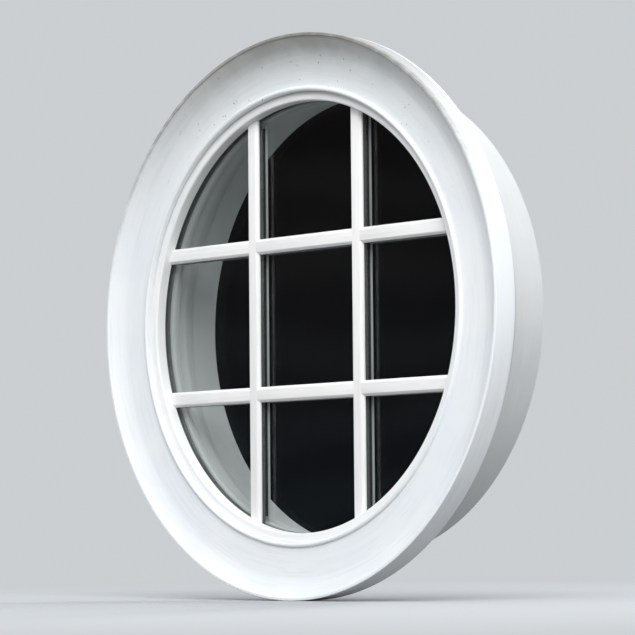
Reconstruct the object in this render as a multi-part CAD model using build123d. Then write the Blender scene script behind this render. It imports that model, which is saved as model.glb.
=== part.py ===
from build123d import *
import os
from math import cos, radians, sin, sqrt

# Round (oculus) window with its frame, millimetres. The axis of the window runs along Y.
# The origin is on that axis, in the plane of the flat back of the exterior casing.
# Minus Y is outdoors, plus Y is indoors and Z is up.
# Depths are places along Y. Radii grow outwards from the clear glass, ring by ring.

# Sealed double glazing
sight_radius = 419.0
glass_bite = 13.5
glass_setback = 2.0
pane_thickness = 4.0
cavity = 12.0
spacer_height = 10.5

# Window frame, the ring that carries the glass
glass_edge_gap = 4.0
frame_wall = 30.5
frame_back = 91.5

# Exterior casing: roll, band, cove and lip, from the glass outwards
roll_radius = 5.0
band_width = 56.5
band_fall = 1.5
cove_width = 39.0
cove_depth = 16.0
cove_arc_radius = 100.0
lip_width = 6.0
lip_step = 2.0
casing_thickness = 50.0
register_height = 1.5

# Jamb liner, which brings the frame out to the face of the room
wall_depth = 167.0
liner_step = 8.5
liner_edge = 8.0

# Loose tenons between the frame and the liner
tenon_count = 6
tenon_width = 40.0
tenon_length = 40.0
tenon_thickness = 6.0

# Stops and the gasket that hold the glazing
stop_clearance = 0.3
gasket_thickness = 2.5
gasket_proud = 0.6
gasket_width = 11.0
bead_front_width = 12.5
bead_depth = 22.5
bead_nose_edge = 2.5
bead_quirk_depth = 11.5
bead_quirk_step = 1.5
bead_bevel_end = 1.5
stop_depth = 22.0
stop_ovolo = 8.0

# Glazing bars, three panes each way
bar_spacing = 292.0
bar_width = 30.0
bar_face_width = 20.0
bar_thickness = 8.0
bar_edge = 3.5
bar_end_gap = 0.3
tape_thickness = 1.0
tape_inset = 3.0
cavity_bar_width = 18.0
cavity_bar_thickness = 9.0

# Blocks under and round the glazing
block_width = 20.0
setting_block_arc = 12.0
setting_block_angle = 30.0
centring_block_arc = 7.0
centring_block_angles = (285.0, 0.0, 75.0)

# Square-section pins and nails, driven home and filled over
pin_count = 6
pin_width = 1.4
pin_length = 30.0
nail_count = 6
nail_width = 1.8
nail_length = 60.0
filler_cover = 2.0

# Flats that make up a quarter round where a moulding is turned
flats_per_quarter = 2

# Radii worked out from the sizes above
glass_radius = sight_radius + glass_bite
spacer_radius = glass_radius - spacer_height
bore_radius = glass_radius + glass_edge_gap
frame_radius = bore_radius + frame_wall
roll_centre_radius = bore_radius + roll_radius
cove_inner_radius = roll_centre_radius + roll_radius + band_width
lip_inner_radius = cove_inner_radius + cove_width
casing_radius = lip_inner_radius + lip_width
liner_bore_radius = bore_radius + liner_step
stop_radius = bore_radius - stop_clearance
nose_radius = stop_radius - bead_front_width
quirk_radius = nose_radius + bead_quirk_step
gasket_radius = sight_radius - gasket_proud
bar_offset = bar_spacing / 2

# Depths worked out from the sizes above
lip_front = -casing_thickness
cove_front = lip_front + lip_step
band_outer_depth = cove_front + cove_depth
band_inner_depth = band_outer_depth + band_fall
outer_pane_front = glass_setback
cavity_front = outer_pane_front + pane_thickness
inner_pane_front = cavity_front + cavity
glazing_back = inner_pane_front + pane_thickness
bead_back = outer_pane_front - gasket_thickness
bead_front = bead_back - bead_depth
quirk_depth = bead_front + bead_quirk_depth
bevel_back = bead_back - bead_bevel_end
stop_back = glazing_back + stop_depth

bar_names = ("left_upright", "right_upright", "upper_level", "lower_level")


def section(*corners):
    """A closed section drawn as radius against depth."""
    return make_face(Polyline(*corners, close=True))


def turned(face):
    """The section turned right round the window's axis."""
    return revolve(face, axis=Axis.Y, revolution_arc=360)


def rounded(centre, radius, first_angle, last_angle):
    """Corners of a round stretch of a section. Angle 0 points outwards and 90 points indoors."""
    flats = round(flats_per_quarter * abs(last_angle - first_angle) / 90)
    corners = []
    for i in range(flats + 1):
        angle = radians(first_angle + (last_angle - first_angle) * i / flats)
        corners.append((centre[0] + radius * cos(angle), centre[1] + radius * sin(angle)))
    return corners


def plain_ring(inner, outer, front, back):
    """A ring of rectangular section."""
    return turned(section((inner, front), (outer, front), (outer, back), (inner, back)))


def disc(radius, front, back):
    """A disc between two depths."""
    return Pos(0, (front + back) / 2, 0) * Rot(90, 0, 0) * Cylinder(radius, back - front)


def slab(half_x, half_z, front, back):
    """A block centred on the window's axis between two depths."""
    return Pos(0, (front + back) / 2, 0) * Box(2 * half_x, abs(back - front), 2 * half_z)


def around(piece, count, first_angle=0.0):
    """Copies of a piece made at the top, spread evenly round the window."""
    return [Rot(0, first_angle + 360 * i / count, 0) * piece for i in range(count)]


def casing():
    """Coved casing: a small roll next to the glass, a wide band, a cove and an outer lip.

    A low register on its back, as wide as the frame, seats on the front of the frame.
    """
    cove_start = (lip_inner_radius, cove_front)
    cove_end = (cove_inner_radius, band_outer_depth)
    lip = Polyline((casing_radius, 0), (casing_radius, lip_front), (lip_inner_radius, lip_front), cove_start)
    cove = RadiusArc(cove_start, cove_end, -cove_arc_radius)
    roll = rounded((roll_centre_radius, band_inner_depth), roll_radius, 0, -180)
    register = [(bore_radius, register_height), (frame_radius, register_height), (frame_radius, 0)]
    rest = Polyline(cove_end, *roll, *register, (casing_radius, 0))
    return turned(make_face(Curve() + [lip, cove, rest]))


def frame():
    """The ring that the glazing, the casing and the liner are all fixed to."""
    return plain_ring(bore_radius, frame_radius, register_height, frame_back)


def liner():
    """Jamb liner with an eased edge towards the room."""
    return turned(section(
        (liner_bore_radius, frame_back),
        (frame_radius, frame_back),
        (frame_radius, wall_depth),
        (liner_bore_radius + liner_edge, wall_depth),
        (liner_bore_radius, wall_depth - liner_edge),
    ))


def liner_tenons():
    """Flat loose tenons, half in the back of the frame and half in the liner."""
    middle_radius = (liner_bore_radius + frame_radius) / 2
    tenon = Pos(0, frame_back, middle_radius) * Box(tenon_width, tenon_length, tenon_thickness)
    return around(tenon, tenon_count, 180 / tenon_count)


def bead_wall(gap):
    """The bead's inner wall from its quirk to the glass, moved towards the axis by a gap."""
    return [
        (nose_radius - gap, quirk_depth),
        (quirk_radius - gap, quirk_depth),
        (sight_radius - gap, bevel_back),
        (sight_radius - gap, bead_back),
    ]


def glazing_bead():
    """Exterior bead: an eased nose, a small quirk and a bevel down to the glass."""
    outside = [(stop_radius, bead_back), (stop_radius, bead_front)]
    nose = [(nose_radius + bead_nose_edge, bead_front), (nose_radius, bead_front + bead_nose_edge)]
    return turned(section(*outside, *nose, *bead_wall(0)))


def interior_stop():
    """Interior stop with a quarter round towards the room."""
    ovolo_centre = (sight_radius + stop_ovolo, stop_back - stop_ovolo)
    ovolo = rounded(ovolo_centre, stop_ovolo, 180, 90)
    outside = [(stop_radius, stop_back), (stop_radius, glazing_back)]
    return turned(section((sight_radius, glazing_back), *ovolo, *outside))


def bead_pins():
    """Pins driven outwards through the bevel of the bead into the casing."""
    depth = (quirk_depth + bevel_back) / 2
    inner_end = (quirk_radius + sight_radius) / 2 + filler_cover
    pin = Pos(0, depth, inner_end + pin_length / 2) * Box(pin_width, pin_width, pin_length)
    return around(pin, pin_count)


def stop_pins():
    """Pins driven outwards through the interior stop into the frame."""
    depth = (glazing_back + stop_back - stop_ovolo) / 2
    inner_end = sight_radius + filler_cover
    pin = Pos(0, depth, inner_end + pin_length / 2) * Box(pin_width, pin_width, pin_length)
    return around(pin, pin_count, 180 / pin_count)


def casing_nails():
    """Nails driven through the casing into the front of the frame."""
    depth = band_inner_depth + filler_cover + nail_length / 2
    nail = Pos(0, depth, bore_radius + frame_wall / 2) * Box(nail_width, nail_length, nail_width)
    return around(nail, nail_count, 90 / nail_count)


def blocks(clock_angles, arc):
    """Blocks between the edge of the glazing and the frame, at clock angles in degrees from the top."""
    middle = (outer_pane_front + glazing_back) / 2
    front = middle - block_width / 2
    back = middle + block_width / 2
    face = section((glass_radius, front), (bore_radius, front), (bore_radius, back), (glass_radius, back))
    block = Rot(0, -90 - arc / 2, 0) * revolve(face, axis=Axis.Y, revolution_arc=arc)
    return [Rot(0, angle, 0) * block for angle in clock_angles]


def bar_stock(width, face_width, glass_side, shoulder, face):
    """A bar along Z, flat towards the glass and bevelled from its shoulders to its face."""
    profile = [
        (-width / 2, glass_side),
        (width / 2, glass_side),
        (width / 2, shoulder),
        (face_width / 2, face),
        (-face_width / 2, face),
        (-width / 2, shoulder),
    ]
    return extrude(make_face(Polyline(*profile, close=True)), amount=bore_radius, both=True)


def bar_grid(stock, width, glass_side, lap_depth, clear_space):
    """Two upright and two level bars, lapped flush where they cross. The uprights keep their faces."""
    lying = Rot(0, 90, 0) * stock
    notch = slab(width / 2, width / 2, lap_depth, glass_side)
    uprights = []
    for x in (-bar_offset, bar_offset):
        notches = [Pos(x, 0, z) * notch for z in (-bar_offset, bar_offset)]
        uprights.append((Pos(x, 0, 0) * stock - notches) & clear_space)
    levels = []
    for z in (bar_offset, -bar_offset):
        levels.append((Pos(0, 0, z) * lying - uprights) & clear_space)
    return uprights + levels


def exterior_bars():
    """Bars on the outside of the glass, with ends coped to the wall of the bead."""
    end_radius = gasket_radius - bar_end_gap
    wall = [(nose_radius - bar_end_gap, bead_front), *bead_wall(bar_end_gap)]
    behind = [(end_radius, bead_back), (end_radius, outer_pane_front), (0, outer_pane_front)]
    clear_space = turned(section((0, bead_front), *wall, *behind))
    glass_side = outer_pane_front - tape_thickness
    shoulder = glass_side - bar_edge
    stock = bar_stock(bar_width, bar_face_width, glass_side, shoulder, glass_side - bar_thickness)
    return bar_grid(stock, bar_width, glass_side, shoulder, clear_space)


def interior_bars():
    """Bars on the room side of the glass, with ends against the interior stop."""
    clear_space = disc(sight_radius - bar_end_gap, glazing_back, stop_back)
    glass_side = glazing_back + tape_thickness
    shoulder = glass_side + bar_edge
    stock = bar_stock(bar_width, bar_face_width, glass_side, shoulder, glass_side + bar_thickness)
    return bar_grid(stock, bar_width, glass_side, shoulder, clear_space)


def cavity_bars():
    """Flat bars between the panes, held by their ends in the spacer."""
    clear_space = disc(spacer_radius, cavity_front, inner_pane_front)
    middle = (cavity_front + inner_pane_front) / 2
    back = middle + cavity_bar_thickness / 2
    front = middle - cavity_bar_thickness / 2
    stock = bar_stock(cavity_bar_width, cavity_bar_width, back, middle, front)
    return bar_grid(stock, cavity_bar_width, back, middle, clear_space)


def bar_tapes(front, back, end_radius):
    """Square-cut tape behind the bars: two long strips, and short ones between and beside them."""
    half_width = bar_width / 2 - tape_inset
    near = bar_offset - half_width
    far = bar_offset + half_width
    end = sqrt(end_radius**2 - far**2)
    strips = [Pos(x, 0, 0) * slab(half_width, end, front, back) for x in (-bar_offset, bar_offset)]
    for z in (-bar_offset, bar_offset):
        strips.append(Pos(0, 0, z) * slab(near, half_width, front, back))
        for x in (-(far + end) / 2, (far + end) / 2):
            strips.append(Pos(x, 0, z) * slab((end - far) / 2, half_width, front, back))
    return strips


def put(name, *solids):
    """Writes one node's file."""
    shape = solids[0] if len(solids) == 1 else Compound(children=list(solids))
    shape.label = name
    export_step(shape, f"parts/{name}.step")


def put_bars(place, bars):
    """Writes the four bars of one grid."""
    for name, bar in zip(bar_names, bars):
        put(f"{place}_bar_{name}", bar)


def put_rings_and_fasteners():
    tenons = liner_tenons()
    outer_pins = bead_pins()
    inner_pins = stop_pins()
    nails = casing_nails()
    put("exterior_casing", casing() - (nails + outer_pins))
    put("window_frame", frame() - (nails + inner_pins + tenons))
    put("jamb_liner", liner() - tenons)
    put("glazing_bead", glazing_bead() - outer_pins)
    put("interior_stop", interior_stop() - inner_pins)
    put("liner_tenons", *tenons)
    put("bead_pins", *outer_pins)
    put("stop_pins", *inner_pins)
    put("casing_nails", *nails)


def put_glazing():
    put("outer_pane", disc(glass_radius, outer_pane_front, cavity_front))
    put("inner_pane", disc(glass_radius, inner_pane_front, glazing_back))
    put("edge_spacer", plain_ring(spacer_radius, glass_radius, cavity_front, inner_pane_front))
    put("glazing_gasket", plain_ring(gasket_radius, gasket_radius + gasket_width, bead_back, outer_pane_front))
    put("setting_blocks", *blocks((180 - setting_block_angle, 180 + setting_block_angle), setting_block_arc))
    put("centring_blocks", *blocks(centring_block_angles, centring_block_arc))


def put_glazing_bars():
    put_bars("exterior", exterior_bars())
    put_bars("interior", interior_bars())
    put_bars("cavity", cavity_bars())
    outer_tape_end = gasket_radius - bar_end_gap - tape_inset
    inner_tape_end = sight_radius - bar_end_gap - tape_inset
    tape_front = outer_pane_front - tape_thickness
    put("exterior_bar_tapes", *bar_tapes(tape_front, outer_pane_front, outer_tape_end))
    put("interior_bar_tapes", *bar_tapes(glazing_back, glazing_back + tape_thickness, inner_tape_end))


os.makedirs("parts", exist_ok=True)
put_rings_and_fasteners()
put_glazing()
put_glazing_bars()
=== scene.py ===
from math import atan2, cos, pi, radians, sin, sqrt, tan

import bmesh
import bpy
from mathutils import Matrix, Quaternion, Vector

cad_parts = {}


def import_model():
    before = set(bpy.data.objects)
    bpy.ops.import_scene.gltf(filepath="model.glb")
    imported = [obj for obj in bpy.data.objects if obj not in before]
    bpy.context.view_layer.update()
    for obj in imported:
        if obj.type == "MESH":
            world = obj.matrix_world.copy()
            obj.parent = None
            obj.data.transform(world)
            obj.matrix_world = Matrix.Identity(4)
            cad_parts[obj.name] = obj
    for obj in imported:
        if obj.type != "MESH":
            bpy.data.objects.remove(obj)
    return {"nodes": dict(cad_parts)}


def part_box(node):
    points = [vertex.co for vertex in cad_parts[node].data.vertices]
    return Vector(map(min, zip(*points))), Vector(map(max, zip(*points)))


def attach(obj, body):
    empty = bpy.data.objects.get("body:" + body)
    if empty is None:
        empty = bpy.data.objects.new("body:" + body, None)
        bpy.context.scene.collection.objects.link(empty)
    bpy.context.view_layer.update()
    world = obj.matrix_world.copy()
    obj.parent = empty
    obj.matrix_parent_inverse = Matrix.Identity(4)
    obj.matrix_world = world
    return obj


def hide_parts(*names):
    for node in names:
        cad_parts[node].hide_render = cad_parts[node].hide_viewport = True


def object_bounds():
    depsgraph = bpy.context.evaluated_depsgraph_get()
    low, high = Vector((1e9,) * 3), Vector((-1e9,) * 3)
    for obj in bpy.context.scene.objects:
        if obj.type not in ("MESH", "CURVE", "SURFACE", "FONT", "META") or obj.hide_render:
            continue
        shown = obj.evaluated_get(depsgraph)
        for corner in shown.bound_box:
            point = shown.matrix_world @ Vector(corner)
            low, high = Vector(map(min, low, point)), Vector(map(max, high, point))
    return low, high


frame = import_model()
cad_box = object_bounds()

# The window's axis runs along Y. Minus Y is outdoors, Z is up, and all lengths are metres.
# A ring's section is drawn as (radius, depth), where the depth is the place along Y.
RING_SEGMENTS = 256
ARC_STEP = radians(12)
COVE_STEP = radians(2)

# Radii and depths that the frame's boxes don't give
SIGHT_RADIUS = 0.4190
BORE_RADIUS = 0.4365
LINER_BORE_RADIUS = 0.4450
ROLL_RADIUS = 0.0050
ROLL_CENTRE_DEPTH = -0.0305
COVE_INNER_RADIUS = 0.5030
COVE_INNER_DEPTH = -0.0320
COVE_ARC_RADIUS = 0.100
LIP_WIDTH = 0.0060
LIP_STEP = 0.0020
NOSE_ROUNDING = 0.0040
SEAM_DEPTH = -0.0230
OVOLO_RADIUS = 0.0080
LINER_ROUNDING = 0.0080

# How far painted corners are eased
EDGE = 0.0010
LIP_EDGE = 0.0015
FINE_EDGE = 0.0004
BAR_EDGE = 0.0005
BAR_EDGE_STEPS = 3

# Vertices of a bar that lie closer than this are one
WELD_DISTANCE = 1e-6

# Faces of a bar that meet at less than the first angle are one, and at more than the second form an edge
SEAM_BELOW = radians(0.5)
EDGE_ABOVE = radians(20)

# Faces of any piece that meet at more than this are shaded with a crease between them
CREASE_ABOVE = radians(28)


def box_of(node):
    """Outer radius, front depth and back depth of a ring's box."""
    low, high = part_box(node)
    return high.x, low.y, high.y


def arc(centre, radius, first, last, step=ARC_STEP):
    """Points of an arc in a section, both ends included."""
    count = max(2, round(abs(last - first) / step))
    points = []
    for i in range(count + 1):
        angle = first + (last - first) * i / count
        points.append((centre[0] + radius * cos(angle), centre[1] + radius * sin(angle)))
    return points


def eased(corners):
    """A closed section whose corners (radius, depth, easing) are rounded where the easing isn't 0."""
    points = []
    for i, (r, y, easing) in enumerate(corners):
        here = Vector((r, y))
        if easing == 0:
            points.append((r, y))
            continue
        before = (Vector(corners[i - 1][:2]) - here).normalized()
        after = (Vector(corners[(i + 1) % len(corners)][:2]) - here).normalized()
        half = before.angle(after) / 2
        middle = (before + after).normalized()
        centre = here + middle * (easing / sin(half))
        start = here + before * (easing / tan(half)) - centre
        end = here + after * (easing / tan(half)) - centre
        first = atan2(start.y, start.x)
        turn = (atan2(end.y, end.x) - first + pi) % (2 * pi) - pi
        points += arc(centre, easing, first, first + turn)
    return points


def finished(name, mesh, node, material):
    """Links a mesh as the piece that stands for a node, smooth apart from its creases."""
    mesh.materials.clear()
    mesh.materials.append(material)
    mesh.shade_smooth()
    mesh.set_sharp_from_angle(angle=CREASE_ABOVE)
    piece = bpy.data.objects.new(name, mesh)
    bpy.context.scene.collection.objects.link(piece)
    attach(piece, "root")
    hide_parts(node)


def turned(name, section, node, material):
    """The closed section turned right round the window's axis."""
    vertices = []
    faces = []
    count = len(section)
    for i in range(RING_SEGMENTS):
        angle = 2 * pi * i / RING_SEGMENTS
        for r, y in section:
            vertices.append((r * sin(angle), y, r * cos(angle)))
        ahead = (i + 1) % RING_SEGMENTS
        for j in range(count):
            k = (j + 1) % count
            faces.append((i * count + j, i * count + k, ahead * count + k, ahead * count + j))
    mesh = bpy.data.meshes.new(name)
    mesh.from_pydata(vertices, [], faces)
    form = bmesh.new()
    form.from_mesh(mesh)
    bmesh.ops.recalc_face_normals(form, faces=form.faces)
    form.to_mesh(mesh)
    form.free()
    finished(name, mesh, node, material)


def cove(lip_radius, front):
    """The hollow between the lip and the band, from the lip inwards."""
    start = Vector((lip_radius, front))
    end = Vector((COVE_INNER_RADIUS, COVE_INNER_DEPTH))
    chord = end - start
    middle = (start + end) / 2
    outdoors = Vector((-chord.y, chord.x)).normalized()
    centre = middle + outdoors * sqrt(COVE_ARC_RADIUS**2 - (chord.length / 2) ** 2)
    first = atan2(start.y - centre.y, start.x - centre.x)
    last = atan2(end.y - centre.y, end.x - centre.x)
    return [(r, y, 0) for r, y in arc(centre, COVE_ARC_RADIUS, first, last, COVE_STEP)]


def casing(material):
    """The coved ring on the outside, with its register on the frame, its lip and its roll."""
    outer, front, back = box_of("exterior_casing")
    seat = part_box("window_frame")[1].x
    lip_inner = outer - LIP_WIDTH
    roll_centre = (BORE_RADIUS + ROLL_RADIUS, ROLL_CENTRE_DEPTH)
    roll = [(r, y, 0) for r, y in arc(roll_centre, ROLL_RADIUS, 0, -pi)]
    corners = [
        (BORE_RADIUS, back, 0),
        (seat, back, 0),
        (seat, 0, 0),
        (outer, 0, EDGE),
        (outer, front, LIP_EDGE),
        (lip_inner, front, EDGE),
        *cove(lip_inner, front + LIP_STEP),
        *roll,
    ]
    turned("casing_visual", eased(corners), "exterior_casing", material)


def bead(material):
    """The ring that holds the glass from outside, with a rounded nose."""
    outer, front, back = box_of("glazing_bead")
    corners = [
        (outer, back, FINE_EDGE),
        (outer, front, FINE_EDGE),
        (SIGHT_RADIUS, front, NOSE_ROUNDING),
        (SIGHT_RADIUS, back, 0),
    ]
    turned("bead_visual", eased(corners), "glazing_bead", material)


def stop(material):
    """The ring that holds the glass from the room, with a quarter round."""
    outer, front, back = box_of("interior_stop")
    corners = [
        (SIGHT_RADIUS, front, FINE_EDGE),
        (SIGHT_RADIUS, back, OVOLO_RADIUS),
        (outer, back, FINE_EDGE),
        (outer, front, FINE_EDGE),
    ]
    turned("stop_visual", eased(corners), "interior_stop", material)


def jamb(material):
    """The ring that carries the glazing."""
    outer, front, back = box_of("window_frame")
    corners = [
        (BORE_RADIUS, front, 0),
        (outer, front, FINE_EDGE),
        (outer, back, FINE_EDGE),
        (BORE_RADIUS, back, FINE_EDGE),
    ]
    turned("frame_visual", eased(corners), "window_frame", material)


def liner(material):
    """The ring that brings the frame out to the face of the room, rounded at the room's edge."""
    outer, front, back = box_of("jamb_liner")
    corners = [
        (LINER_BORE_RADIUS, front, FINE_EDGE),
        (outer, front, FINE_EDGE),
        (outer, back, EDGE),
        (LINER_BORE_RADIUS, back, LINER_ROUNDING),
    ]
    turned("liner_visual", eased(corners), "jamb_liner", material)


def bar(side, name, material):
    """A copy of one glazing bar with its edges eased."""
    node = f"{side}_bar_{name}"
    mesh = frame["nodes"][node].data.copy()
    form = bmesh.new()
    form.from_mesh(mesh)
    bmesh.ops.remove_doubles(form, verts=form.verts, dist=WELD_DISTANCE)
    bmesh.ops.dissolve_limit(form, angle_limit=SEAM_BELOW, verts=form.verts, edges=form.edges)
    edges = [e for e in form.edges if len(e.link_faces) == 2 and e.calc_face_angle(0) > EDGE_ABOVE]
    bmesh.ops.bevel(
        form, geom=edges, offset=BAR_EDGE, segments=BAR_EDGE_STEPS, profile=0.5, affect="EDGES",
        clamp_overlap=True,
    )
    bmesh.ops.recalc_face_normals(form, faces=form.faces)
    form.to_mesh(mesh)
    form.free()
    finished(f"{node}_visual", mesh, node, material)


# Places of a Mix node's sockets when it blends colours
MIX_FACTOR, MIX_FIRST, MIX_SECOND, MIX_RESULT = 0, 6, 7, 2


class Graph:
    """The node tree of a material or of the world, built one node at a time."""

    def __init__(self, owner, output):
        owner.use_nodes = True
        self.owner = owner
        self.tree = owner.node_tree
        self.tree.nodes.clear()
        self.output = self.tree.nodes.new(output)

    def node(self, kind, settings=None, **inputs):
        """A node with its settings, and its inputs by name with an underscore for each space."""
        made = self.tree.nodes.new(kind)
        for key, value in (settings or {}).items():
            setattr(made, key, value)
        for key, value in inputs.items():
            self.plug(made.inputs[key.replace("_", " ")], value)
        return made

    def plug(self, socket, value):
        """Links a socket or a node's first output to a socket, or sets a plain value there."""
        if isinstance(value, bpy.types.NodeSocket):
            self.tree.links.new(value, socket)
        elif isinstance(value, bpy.types.Node):
            self.tree.links.new(value.outputs[0], socket)
        else:
            socket.default_value = value

    def maths(self, operation, *values, clamp=False):
        made = self.tree.nodes.new("ShaderNodeMath")
        made.operation = operation
        made.use_clamp = clamp
        for socket, value in zip(made.inputs, values):
            self.plug(socket, value)
        return made.outputs[0]

    def times(self, first, *others):
        """Product of all the values."""
        for value in others:
            first = self.maths("MULTIPLY", first, value)
        return first

    def plus(self, first, *others):
        """Sum of all the values."""
        for value in others:
            first = self.maths("ADD", first, value)
        return first

    def greatest(self, first, *others):
        """The greatest of all the values."""
        for value in others:
            first = self.maths("MAXIMUM", first, value)
        return first

    def distance(self, x, y):
        """How far a point is from the origin of its plane."""
        return self.maths("SQRT", self.plus(self.times(x, x), self.times(y, y)))

    def rise(self, value, low, high):
        """Straight rise of a value, from 0 at low to 1 at high."""
        return self.maths("MULTIPLY_ADD", value, 1 / (high - low), -low / (high - low), clamp=True)

    def ramp(self, value, low, high, out_low=0.0, out_high=1.0):
        """Smooth step of a value, from out_low at low to out_high at high."""
        made = self.node("ShaderNodeMapRange", {"interpolation_type": "SMOOTHSTEP"})
        for socket, number in zip(made.inputs, (value, low, high, out_low, out_high)):
            self.plug(socket, number)
        return made.outputs[0]

    def mix(self, factor, first, second):
        """Blend of two colours."""
        made = self.node("ShaderNodeMix", {"data_type": "RGBA"})
        self.plug(made.inputs[MIX_FACTOR], factor)
        self.plug(made.inputs[MIX_FIRST], first)
        self.plug(made.inputs[MIX_SECOND], second)
        return made.outputs[MIX_RESULT]

    def vector(self, x, y, z):
        return self.node("ShaderNodeCombineXYZ", X=x, Y=y, Z=z).outputs[0]

    def noise(self, vector, scale, detail, roughness, w=None):
        made = self.node(
            "ShaderNodeTexNoise", Vector=vector, Scale=scale, Detail=detail, Roughness=roughness
        )
        if w is not None:
            made.noise_dimensions = "4D"
            self.plug(made.inputs["W"], w)
        return made.outputs[0]

    def light_path(self):
        return self.node("ShaderNodeLightPath").outputs

    def both(self, factor, first, second):
        """Mix of two shaders."""
        made = self.node("ShaderNodeMixShader", Fac=factor)
        self.plug(made.inputs[1], first)
        self.plug(made.inputs[2], second)
        return made

    def finish(self, shader):
        """Plugs in the last shader and gives back the material or the world."""
        self.plug(self.output.inputs[0], shader)
        return self.owner


def material_graph(name):
    return Graph(bpy.data.materials.new(name), "ShaderNodeOutputMaterial")


def place(graph):
    """Object coordinates with the radius and the cosine of the clock angle from the top."""
    spot = graph.node("ShaderNodeTexCoord").outputs["Object"]
    parts = graph.node("ShaderNodeSeparateXYZ", Vector=spot).outputs
    x, y, z = parts[0], parts[1], parts[2]
    radius = graph.distance(x, z)
    return {"spot": spot, "x": x, "y": y, "z": z, "radius": radius, "top": graph.maths("DIVIDE", z, radius)}


# Each paint's darker and lighter tone
CASING_WHITE = ((0.832, 0.872, 0.902, 1), (0.872, 0.896, 0.910, 1))
BEAD_WHITE = ((0.875, 0.882, 0.884, 1), (0.900, 0.904, 0.902, 1))
BAR_WHITE = ((0.898, 0.892, 0.881, 1), (0.920, 0.911, 0.898, 1))
# Painted shade: the reveal's white and the inside grey are darker copies of the white paint, for the dim
# room side. The inside grey is darker still, for the frame's shade in the reveal's step and the interior
# bars' shade.
REVEAL_SHADED_WHITE = ((0.620, 0.642, 0.646, 1), (0.660, 0.674, 0.674, 1))
INNER_SHADED_GREY = ((0.530, 0.544, 0.544, 1), (0.570, 0.579, 0.579, 1))

# The paint's brush marks, so many to the metre across them and lengthways
STROKES_ACROSS, STROKES_LENGTHWAYS = 900.0, 32.0
LAPS_ACROSS, LAPS_LENGTHWAYS = 150.0, 9.0

# Radius of a ring in metres, near enough to count the brush marks round it
MARKED_RADIUS = 0.5

# How high each kind of mark stands in the paint, against the others
STROKE_RELIEF = 0.7
SPECK_RELIEF = 0.5
LAP_RELIEF = 1.6

# The paint's roughness where it shines most and least
PAINT_SHINY, PAINT_DULL = 0.34, 0.62
PAINT_IOR = 1.46

# Colours of brush marks, dirt and painted shade, each with how strongly it shows
STROKE_SHADE, STROKE_STRENGTH = (0.79, 0.80, 0.79, 1), 0.2
LAP_SHADE, LAP_STRENGTH = (0.72, 0.735, 0.74, 1), 0.35
# Dust with painted shade: corners that ambient occlusion finds are darkened
DUST_AND_SHADE, DUST_AND_SHADE_STRENGTH = (0.32, 0.33, 0.32, 1), 0.55
# Painted shade and dirt in the seam at the foot of the casing's roll
SEAM_SHADE_AND_DIRT, SEAM_STRENGTH = (0.14, 0.145, 0.14, 1), 0.2
# Painted shadow of the casing's roll on the bead's front, with dirt
JOINT_SHADOW_AND_DIRT, JOINT_STRENGTH = (0.36, 0.37, 0.35, 1), 0.3
CRUST, CRUST_STRENGTH = (0.17, 0.155, 0.125, 1), 0.60
SPOT, SPOT_STRENGTH = (0.12, 0.12, 0.10, 1), 0.7
STREAK, STREAK_STRENGTH = (0.42, 0.43, 0.40, 1), 0.16
# The film's colours hold dirt and painted shade of the casing's upper outer part
GREEN_FILM_AND_SHADE = (0.200, 0.214, 0.200, 1)
BROWN_FILM_AND_SHADE = (0.215, 0.195, 0.160, 1)
FILM_AND_SHADE_STRENGTH = 0.78

# Distance from a corner within which dust and painted shade lie
DUST_AND_SHADE_REACH = 0.0035

# Radii at which dirt and painted shade start and have their full strength, and at which the film turns from
# green to brown
JOINT_START, JOINT_FULL = 0.4255, BORE_RADIUS
FILM_START, FILM_FULL = 0.438, 0.523
STREAKS_START, STREAKS_FULL = 0.455, 0.500
CRUST_START, CRUST_FULL = 0.538, 0.545
BROWN_START, BROWN_FULL = 0.500, 0.550

# Radii and depths at which dirt and painted shade have their full strength and have gone
SEAM_RADIUS_FULL, SEAM_RADIUS_END = BORE_RADIUS + 0.0002, BORE_RADIUS + 0.0012
SEAM_DEPTH_FULL, SEAM_DEPTH_END = SEAM_DEPTH - 0.0006, SEAM_DEPTH - 0.0050
WEATHER_FULL, WEATHER_END = -0.012, -0.001

# The crust is fainter behind the front of the lip
CRUST_FRONT, CRUST_BEHIND = -0.047, -0.034
CRUST_BEHIND_SHARE = 0.15

# How fast the weather's stains and painted shade grow towards the top
STAIN_AND_SHADE_POWER = 2.6


def brushed(graph, at, along, across, lengthways):
    """Brush marks round the ring, or along X or Z, so many to the metre across them and lengthways."""
    if along == "ring":
        per_radian = lengthways * MARKED_RADIUS
        side = graph.maths("DIVIDE", at["x"], at["radius"])
        vector = graph.vector(
            graph.times(side, per_radian), graph.times(at["top"], per_radian), graph.times(at["y"], across)
        )
        return graph.noise(vector, 1.0, 2.0, 0.6, w=graph.times(at["radius"], across))
    stretch = {"x": (lengthways, across, across), "z": (across, across, lengthways)}[along]
    scaled = [graph.times(at[key], factor) for key, factor in zip("xyz", stretch)]
    return graph.noise(graph.vector(*scaled), 1.0, 2.0, 0.6)


def corner_dust_and_shade(graph, at, specks):
    """How much dust and painted shade lie in the corners, found by ambient occlusion. It is stronger towards
    the top of the window.
    """
    corner = graph.node("ShaderNodeAmbientOcclusion", {"samples": 8}, Distance=DUST_AND_SHADE_REACH).outputs["AO"]
    dust_and_shade = graph.ramp(graph.plus(corner, graph.times(specks, 0.12)), 0.30, 0.62, DUST_AND_SHADE_STRENGTH, 0.0)
    return graph.times(dust_and_shade, graph.ramp(at["top"], -0.4, 0.8, 0.12, 0.6))


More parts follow.
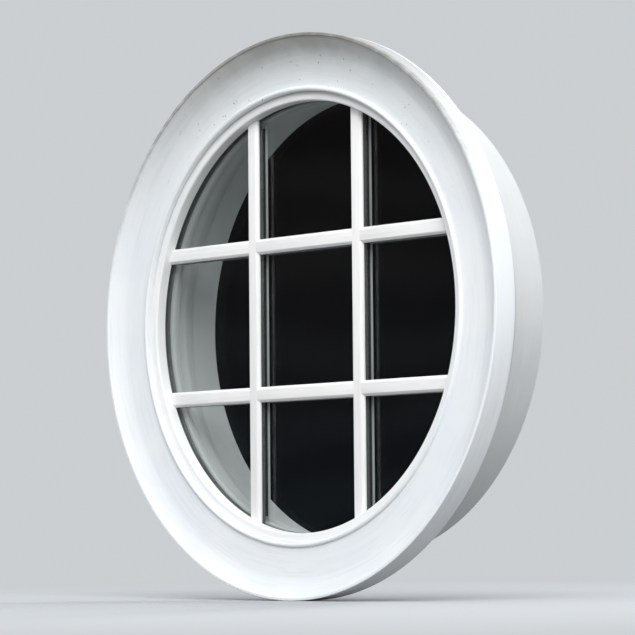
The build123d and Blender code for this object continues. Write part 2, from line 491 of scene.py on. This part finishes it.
def seam_shade_and_dirt(graph, at, colour):
    """Painted shade with dirt at the foot of the seam between the casing's roll and the bead, stronger
    towards the top.
    """
    low = graph.ramp(at["y"], SEAM_DEPTH_END, SEAM_DEPTH_FULL)
    near = graph.ramp(at["radius"], SEAM_RADIUS_FULL, SEAM_RADIUS_END, 1.0, 0.0)
    height = graph.ramp(at["top"], -0.3, 0.9, 0.12, 1.0)
    return graph.mix(graph.times(low, near, height, SEAM_STRENGTH), colour, SEAM_SHADE_AND_DIRT)


def joint_shadow_and_dirt(graph, at, colour):
    """Painted shadow of the casing's roll, with dirt, on the outer part of the bead's front, towards the
    top.
    """
    near = graph.ramp(at["radius"], JOINT_START, JOINT_FULL)
    height = graph.ramp(at["top"], 0.1, 0.95)
    return graph.mix(graph.times(near, height, JOINT_STRENGTH), colour, JOINT_SHADOW_AND_DIRT)


def film_and_shade(graph, at, stain_and_shade, colour):
    """A patchy film of dirt and painted shade that thickens from the bore to the lip, green at first and
    brown at the lip.
    """
    outer = graph.rise(at["radius"], FILM_START, FILM_FULL)
    patches = graph.ramp(graph.noise(at["spot"], 22.0, 5.0, 0.6), 0.25, 0.75, 0.86, 1.0)
    tint = graph.mix(graph.ramp(at["radius"], BROWN_START, BROWN_FULL), GREEN_FILM_AND_SHADE, BROWN_FILM_AND_SHADE)
    return graph.mix(graph.times(stain_and_shade, outer, patches, FILM_AND_SHADE_STRENGTH), colour, tint)


def crust(graph, at, weathered, colour):
    """A brown crust on the lip."""
    edge = graph.ramp(at["radius"], CRUST_START, CRUST_FULL)
    front = graph.ramp(at["y"], CRUST_FRONT, CRUST_BEHIND, 1.0, CRUST_BEHIND_SHARE)
    patches = graph.ramp(graph.noise(at["spot"], 45.0, 3.0, 0.5), 0.25, 0.70, 0.4, 1.0)
    height = graph.ramp(at["top"], 0.2, 0.8)
    return graph.mix(graph.times(edge, patches, height, front, weathered, CRUST_STRENGTH), colour, CRUST)


def spots(graph, at, stain_and_shade, colour):
    """Small dark spots here and there."""
    cells = graph.node("ShaderNodeTexVoronoi", Vector=at["spot"], Scale=95.0, Randomness=1.0)
    dot = graph.ramp(cells.outputs["Distance"], 0.12, 0.20, 1.0, 0.0)
    chosen = graph.ramp(graph.noise(at["spot"], 31.0, 1.0, 0.5), 0.56, 0.60)
    return graph.mix(graph.times(dot, chosen, stain_and_shade, SPOT_STRENGTH), colour, SPOT)


def streaks(graph, at, stain_and_shade, colour):
    """Faint upright streaks on the outer part of the casing."""
    vector = graph.vector(graph.times(at["x"], 260.0), 0.0, graph.times(at["z"], 9.0))
    lines = graph.ramp(graph.noise(vector, 1.0, 3.0, 0.6), 0.52, 0.75)
    outer = graph.ramp(at["radius"], STREAKS_START, STREAKS_FULL)
    return graph.mix(graph.times(lines, stain_and_shade, outer, STREAK_STRENGTH), colour, STREAK)


def weather_and_shade(graph, at, colour):
    """Stains of the upper half with painted shade in the film, which end before the casing's flat back."""
    weathered = graph.ramp(at["y"], WEATHER_FULL, WEATHER_END, 1.0, 0.0)
    upper = graph.maths("POWER", graph.greatest(at["top"], 0.0), STAIN_AND_SHADE_POWER)
    stain_and_shade = graph.times(upper, weathered)
    colour = film_and_shade(graph, at, stain_and_shade, colour)
    colour = crust(graph, at, weathered, colour)
    colour = spots(graph, at, stain_and_shade, colour)
    return streaks(graph, at, stain_and_shade, colour)


def painted_wood(name, along, tones, *kinds_of_dirt_and_shade):
    """White paint with brush marks and with dust and painted shade in its corners, and over it each kind of
    dirt and painted shade in turn.
    """
    graph = material_graph(name)
    at = place(graph)
    strokes = brushed(graph, at, along, STROKES_ACROSS, STROKES_LENGTHWAYS)
    laps = brushed(graph, at, along, LAPS_ACROSS, LAPS_LENGTHWAYS)
    clouds = graph.noise(at["spot"], 7.0, 4.0, 0.6)
    specks = graph.noise(at["spot"], 220.0, 2.0, 0.5)
    dust_and_shade = corner_dust_and_shade(graph, at, specks)
    colour = graph.mix(graph.ramp(clouds, 0.35, 0.65), *tones)
    colour = graph.mix(graph.ramp(strokes, 0.55, 0.8, 0.0, STROKE_STRENGTH), colour, STROKE_SHADE)
    colour = graph.mix(graph.ramp(laps, 0.45, 0.75, 0.0, LAP_STRENGTH), colour, LAP_SHADE)
    colour = graph.mix(dust_and_shade, colour, DUST_AND_SHADE)
    for layer in kinds_of_dirt_and_shade:
        colour = layer(graph, at, colour)
    relief = graph.plus(
        graph.times(strokes, STROKE_RELIEF), graph.times(specks, SPECK_RELIEF), graph.times(laps, LAP_RELIEF)
    )
    bump = graph.node("ShaderNodeBump", Height=relief, Strength=0.22, Distance=0.0004)
    shine = graph.ramp(graph.plus(clouds, graph.times(dust_and_shade, 0.3)), 0.3, 0.9, PAINT_SHINY, PAINT_DULL)
    paint = graph.node("ShaderNodeBsdfPrincipled", Base_Color=colour, Roughness=shine, Normal=bump)
    paint.inputs["IOR"].default_value = PAINT_IOR
    return graph.finish(paint)


def float_glass():
    """Clear glass with the faint waves of a float pane. It lets the lamps' light through."""
    graph = material_graph("float_glass")
    waves = graph.noise(place(graph)["spot"], 3.0, 2.0, 0.5)
    tint = graph.mix(graph.ramp(waves, 0.3, 0.7), (0.955, 0.975, 0.968, 1), (0.965, 0.980, 0.976, 1))
    bump = graph.node("ShaderNodeBump", Height=waves, Strength=0.03, Distance=0.002)
    glass = graph.node("ShaderNodeBsdfPrincipled", Base_Color=tint, Normal=bump)
    glass.inputs["Roughness"].default_value = 0.0
    glass.inputs["IOR"].default_value = 1.5
    glass.inputs["Transmission Weight"].default_value = 1.0
    clear = graph.node("ShaderNodeBsdfTransparent", Color=(0.91, 0.925, 0.92, 1))
    path = graph.light_path()
    passing = graph.greatest(path["Is Shadow Ray"], path["Is Diffuse Ray"])
    return graph.finish(graph.both(passing, glass, clear))


# How far a mottled finish's roughness strays from its middle value
ROUGHNESS_SPREAD = 0.15


def mottled(name, dark, light, scale, roughness, metallic=0.0, grain=None):
    """A plain finish that varies between two colours, with a fine bump."""
    graph = material_graph(name)
    vector = place(graph)["spot"]
    if grain:
        vector = graph.node("ShaderNodeMapping", Vector=vector, Scale=grain).outputs[0]
    pattern = graph.noise(vector, scale, 4.0, 0.6)
    colour = graph.mix(graph.ramp(pattern, 0.3, 0.7), (*dark, 1), (*light, 1))
    fine = graph.noise(vector, scale * 6, 2.0, 0.6)
    bump = graph.node("ShaderNodeBump", Height=fine, Strength=0.25, Distance=0.0003)
    smoothest = roughness * (1 - ROUGHNESS_SPREAD)
    roughest = min(1.0, roughness * (1 + ROUGHNESS_SPREAD))
    sheen = graph.ramp(pattern, 0.2, 0.8, smoothest, roughest)
    shader = graph.node("ShaderNodeBsdfPrincipled", Base_Color=colour, Roughness=sheen, Normal=bump)
    shader.inputs["Metallic"].default_value = metallic
    return graph.finish(shader)


def give(material, *names):
    """Puts a material on CAD nodes that are shown as they are."""
    for name in names:
        mesh = frame["nodes"][name].data
        mesh.materials.clear()
        mesh.materials.append(material)


BARS = ("left_upright", "right_upright", "upper_level", "lower_level")


def dress_rings():
    casing(painted_wood("casing_paint", "ring", CASING_WHITE, seam_shade_and_dirt, weather_and_shade))
    bead(painted_wood("bead_paint", "ring", BEAD_WHITE, joint_shadow_and_dirt))
    # The reveal's and the frame's paints are darkened with painted shade
    shaded_inside = painted_wood("reveal_shaded_paint", "ring", REVEAL_SHADED_WHITE)
    stop(shaded_inside)
    liner(shaded_inside)
    jamb(painted_wood("frame_shaded_paint", "ring", INNER_SHADED_GREY))


def dress_bars():
    # The interior bars take the inside grey, with its painted shade
    for side, tones in (("exterior", BAR_WHITE), ("interior", INNER_SHADED_GREY)):
        upright = painted_wood(f"{side}_upright_paint", "z", tones)
        level = painted_wood(f"{side}_level_paint", "x", tones)
        for name in BARS:
            bar(side, name, upright if "upright" in name else level)


def dress_glazing():
    butyl = mottled("butyl", (0.030, 0.036, 0.037), (0.045, 0.052, 0.053), scale=60, roughness=0.45)
    gasket = mottled("gasket_rubber", (0.050, 0.056, 0.058), (0.075, 0.082, 0.084), scale=90, roughness=0.6)
    rubber = mottled("block_rubber", (0.02, 0.02, 0.02), (0.035, 0.035, 0.034), scale=120, roughness=0.7)
    tape = mottled("foam_tape", (0.035, 0.036, 0.036), (0.055, 0.056, 0.056), scale=300, roughness=0.9)
    dark = mottled("dark_bar_paint", (0.050, 0.053, 0.054), (0.066, 0.069, 0.070), scale=40, roughness=0.42)
    give(float_glass(), "outer_pane", "inner_pane")
    give(butyl, "edge_spacer")
    give(gasket, "glazing_gasket")
    give(rubber, "setting_blocks", "centring_blocks")
    give(tape, "exterior_bar_tapes", "interior_bar_tapes")
    give(dark, *[f"cavity_bar_{name}" for name in BARS])


def dress_fixings():
    beech = mottled(
        "beech", (0.50, 0.33, 0.18), (0.66, 0.47, 0.29), scale=18, roughness=0.6, grain=(8, 8, 1)
    )
    steel = mottled(
        "pin_steel", (0.42, 0.42, 0.43), (0.60, 0.60, 0.61), scale=200, roughness=0.35, metallic=1.0
    )
    give(beech, "liner_tenons")
    give(steel, "bead_pins", "stop_pins", "casing_nails")


# The background, and the far floor that fades into it
PALE = (0.60, 0.62, 0.64, 1)

# The near floor where it is looked at, the floor for the light that it sends back to the window, and
# the far floor where it is mirrored
NEAR_FLOOR = (0.47, 0.485, 0.50, 1)
UNSEEN_FLOOR = (0.22, 0.22, 0.22, 1)
MIRRORED_FLOOR = (0.024, 0.025, 0.027, 1)

# Distances from the window at which the floor starts to fade and has gone, and half its width
FADE_START, FADE_END = 0.5, 2.6
FLOOR_HALF = 60.0

# Daylight, which grows from faint to full between two heights of the direction that it comes from
DAYLIGHT = (0.68, 0.70, 0.73, 1)
DAYLIGHT_LOW, DAYLIGHT_HIGH = -0.12, 0.25
DAYLIGHT_FAINT, DAYLIGHT_FULL = 0.15, 1.29

# The dark room's card: its tones from the bottom to the top, its gap behind the liner, the corners of
# its rim, and the share of soft light that it lets through
CARD_LOW_TONE, CARD_HIGH_TONE = (0.0060, 0.0070, 0.0085, 1), (0.0085, 0.0070, 0.0065, 1)
CARD_HALF_HEIGHT = 0.45
CARD_GAP = 0.0005
CARD_CORNERS = 96
CARD_SHARE = 0.06

# The dark surroundings: a half drum in front of the window, with its tones and where they lie
DRUM_RADIUS = 9.0
DRUM_BOTTOM, DRUM_TOP = -0.5, 9.0
DRUM_STEPS = 48
DRUM_LOW_TONE, DRUM_HIGH_TONE = (0.018, 0.028, 0.038, 1), (0.030, 0.022, 0.020, 1)
DRUM_TONE_LOW, DRUM_TONE_HIGH = -3.0, 4.0

CLEAR = (1, 1, 1, 1)
LAMP_WHITE = (1.0, 0.995, 0.98)
WINDOW_CENTRE = (0, 0, 0)

# The photo's viewpoint, with a longer lens in millimetres
CAMERA_POSITION = (4.0860, -3.8733, -0.4355)
CAMERA_TARGET = (0.0, 0.030, 0.0)
CAMERA_ROLL = radians(-0.53)
CAMERA_SENSOR = 36.0
CAMERA_LENS = 165.0
CAMERA_REACH = 200.0


def staged(name, vertices, faces, material):
    """Links a mesh with its material into the scene."""
    mesh = bpy.data.meshes.new(name)
    mesh.from_pydata(vertices, [], faces)
    mesh.materials.append(material)
    thing = bpy.data.objects.new(name, mesh)
    bpy.context.scene.collection.objects.link(thing)
    return thing


def looked_at(graph, path):
    """1 for rays of the camera and for what is seen through glass or in a shine."""
    return graph.greatest(path["Is Camera Ray"], path["Is Transmission Ray"], path["Is Glossy Ray"])


def mirrored(graph, path):
    """1 for what a surface mirrors. A look through smooth glass has no glossy depth."""
    return graph.maths("GREATER_THAN", path["Glossy Depth"], 0.5)


def floor():
    """A pale floor that fades into the background with distance, and is dark there in a mirror."""
    graph = material_graph("floor_finish")
    at = place(graph)
    path = graph.light_path()
    seen = looked_at(graph, path)
    near = graph.node("ShaderNodeBsdfDiffuse", Color=graph.mix(seen, UNSEEN_FLOOR, NEAR_FLOOR))
    far_tone = graph.mix(mirrored(graph, path), PALE, MIRRORED_FLOOR)
    far = graph.node("ShaderNodeEmission", Color=far_tone, Strength=1.0)
    away = graph.distance(at["x"], at["y"])
    fade = graph.times(graph.ramp(away, FADE_START, FADE_END), seen)
    material = graph.finish(graph.both(fade, near, far))
    level = cad_box[0].z
    half = FLOOR_HALF
    corners = [(-half, -half, level), (half, -half, level), (half, half, level), (-half, half, level)]
    staged("floor", corners, [(0, 1, 2, 3)], material)


def dark_room():
    """The unlit room behind the glass, as one dark card across the mouth of the reveal."""
    graph = material_graph("dark_room_finish")
    height = graph.ramp(place(graph)["z"], -CARD_HALF_HEIGHT, CARD_HALF_HEIGHT)
    dark = graph.node("ShaderNodeBsdfDiffuse", Color=graph.mix(height, CARD_LOW_TONE, CARD_HIGH_TONE))
    open_air = graph.node("ShaderNodeBsdfTransparent", Color=CLEAR)
    path = graph.light_path()
    passing = graph.greatest(path["Is Shadow Ray"], graph.times(path["Is Diffuse Ray"], CARD_SHARE))
    material = graph.finish(graph.both(passing, dark, open_air))
    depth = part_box("jamb_liner")[1].y + CARD_GAP
    radius = LINER_BORE_RADIUS + LINER_ROUNDING - EDGE
    angles = [2 * pi * i / CARD_CORNERS for i in range(CARD_CORNERS)]
    rim = [(radius * sin(angle), depth, radius * cos(angle)) for angle in angles]
    card = staged("dark_room", rim, [tuple(range(CARD_CORNERS))], material)
    card.visible_camera = False
    card.visible_glossy = False


def world():
    """Pale behind everything that is looked at, and soft daylight from above for the rest."""
    graph = Graph(bpy.data.worlds.new("studio"), "ShaderNodeOutputWorld")
    spot = graph.node("ShaderNodeTexCoord").outputs["Generated"]
    height = graph.node("ShaderNodeSeparateXYZ", Vector=spot).outputs[2]
    strength = graph.ramp(height, DAYLIGHT_LOW, DAYLIGHT_HIGH, DAYLIGHT_FAINT, DAYLIGHT_FULL)
    daylight = graph.node("ShaderNodeBackground", Color=DAYLIGHT, Strength=strength)
    pale = graph.node("ShaderNodeBackground", Color=PALE)
    seen = looked_at(graph, graph.light_path())
    bpy.context.scene.world = graph.finish(graph.both(seen, daylight, pale))


def surroundings_finish():
    """Dark bands that only reflections show."""
    graph = material_graph("surroundings_finish")
    at = place(graph)
    bands = graph.node(
        "ShaderNodeTexWave", {"wave_type": "BANDS", "bands_direction": "Z"},
        Vector=at["spot"], Scale=0.8, Distortion=6.0, Detail=3.0,
    )
    height = graph.ramp(at["z"], DRUM_TONE_LOW, DRUM_TONE_HIGH)
    tone = graph.mix(height, DRUM_LOW_TONE, DRUM_HIGH_TONE)
    strength = graph.ramp(bands.outputs[1], 0.0, 1.0, 0.75, 1.2)
    open_air = graph.node("ShaderNodeBsdfTransparent", Color=CLEAR)
    painted = graph.node("ShaderNodeEmission", Color=tone, Strength=strength)
    return graph.finish(graph.both(mirrored(graph, graph.light_path()), open_air, painted))


def reflected_surroundings():
    """Dark surroundings that the panes mirror, seen only in reflections."""
    vertices = []
    faces = []
    for i in range(DRUM_STEPS + 1):
        angle = pi * i / DRUM_STEPS
        for z in (DRUM_BOTTOM, DRUM_TOP):
            vertices.append((DRUM_RADIUS * cos(angle), -DRUM_RADIUS * sin(angle), z))
        if i:
            faces.append((2 * i - 2, 2 * i, 2 * i + 1, 2 * i - 1))
    drum = staged("reflected_surroundings", vertices, faces, surroundings_finish())
    drum.visible_camera = False
    drum.visible_diffuse = False
    drum.visible_shadow = False


def aim(thing, position, target, roll=0.0):
    """Links a lamp or camera at a position and points it at a target."""
    bpy.context.scene.collection.objects.link(thing)
    thing.location = position
    thing.rotation_mode = "QUATERNION"
    facing = (Vector(target) - Vector(position)).to_track_quat("-Z", "Y")
    thing.rotation_quaternion = facing @ Quaternion((0, 0, 1), roll)


def lamp(name, position, size, power):
    """A soft round lamp that points at the window and isn't seen in reflections."""
    data = bpy.data.lights.new(name, "AREA")
    data.shape = "DISK"
    data.size = size
    data.energy = power
    data.color = LAMP_WHITE
    thing = bpy.data.objects.new(name, data)
    aim(thing, position, WINDOW_CENTRE)
    thing.visible_glossy = False


def camera():
    """Looks at the window from the photo's viewpoint."""
    data = bpy.data.cameras.new("camera")
    data.sensor_width = CAMERA_SENSOR
    data.lens = CAMERA_LENS
    data.clip_end = CAMERA_REACH
    thing = bpy.data.objects.new("camera", data)
    aim(thing, CAMERA_POSITION, CAMERA_TARGET, CAMERA_ROLL)
    bpy.context.scene.camera = thing


dress_rings()
dress_bars()
dress_glazing()
dress_fixings()
floor()
dark_room()
world()
reflected_surroundings()
lamp("back", position=(0.0, 7.0, 3.2), size=2.5, power=280)
lamp("key", position=(4.6, -4.2, 4.2), size=5.5, power=472)
camera()
bpy.context.scene.view_settings.view_transform = "Standard"
